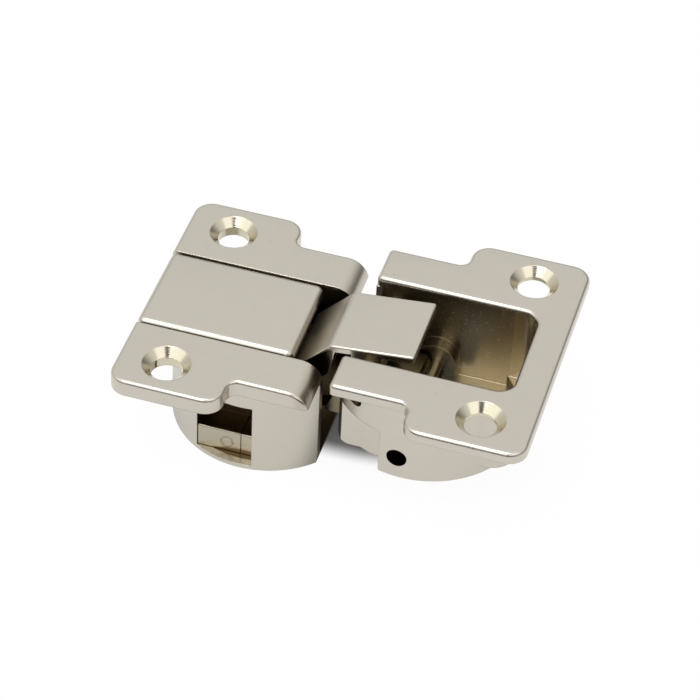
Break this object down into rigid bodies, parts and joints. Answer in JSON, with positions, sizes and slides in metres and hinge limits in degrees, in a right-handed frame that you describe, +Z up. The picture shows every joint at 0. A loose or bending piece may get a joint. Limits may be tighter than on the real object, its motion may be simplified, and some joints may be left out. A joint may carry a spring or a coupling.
{
  "type": "table hinge",
  "caption": "Concealed table hinge: two cast leaves with round bored-in cups, wide screw ears, a cap over one cup and an arm that swings into a pocket in the other.",
  "frame": {"origin": "middle of the overall box, at the flat bottom of the fixed leaf's cup", "axes": "+X from the fixed leaf across the joint to the moving leaf, +Y along the hinge pins to the rear, +Z up out of the table top"},
  "size_m": [0.0642, 0.044, 0.0235],
  "materials": {
    "fixed_casting": "satin nickel",
    "moving_casting": "satin nickel",
    "cap_plating": "satin nickel",
    "inner_casting": "satin nickel",
    "arm_plating": "satin nickel",
    "link_plating": "satin nickel",
    "screw_zinc": "satin nickel",
    "pin_steel": "satin nickel"
  },
  "bodies": {
    "fixed_leaf": {"fixed_housing": "fixed_casting", "cover_cap": "cap_plating", "carriage": "inner_casting", "guide_block": "inner_casting", "clamp_screw_front": "screw_zinc", "clamp_screw_rear": "screw_zinc", "clamp_washer_front": "screw_zinc", "clamp_washer_rear": "screw_zinc", "arm_pivot_pin": "pin_steel", "link_pivot_pin": "pin_steel"},
    "swing_arm": {"arm": "arm_plating"},
    "support_link": {"lower_link": "link_plating"},
    "moving_leaf": {"moving_housing": "moving_casting", "arm_hinge_pin": "pin_steel", "rest_pin": "pin_steel"}
  },
  "joints": [
    {"name": "arm_swing", "type": "hinge", "parent": "fixed_leaf", "child": "swing_arm", "pos_m": [-0.0209, 0, 0.0108], "axis": [0, -1, 0], "range_deg": [0, 3.8]},
    {"name": "leaf_turn", "type": "hinge", "parent": "swing_arm", "child": "moving_leaf", "pos_m": [0.0039, 0, 0.018], "axis": [0, -1, 0], "range_deg": [0, 74]},
    {"name": "link_swing", "type": "hinge", "parent": "fixed_leaf", "child": "support_link", "pos_m": [-0.00915, 0, 0.0068], "axis": [0, -1, 0], "range_deg": [0, 3.8]}
  ],
  "couplings": [
    {"joint": "arm_swing", "follows": "leaf_turn", "ratio": 0.05},
    {"joint": "link_swing", "follows": "leaf_turn", "ratio": 0.05}
  ]
}
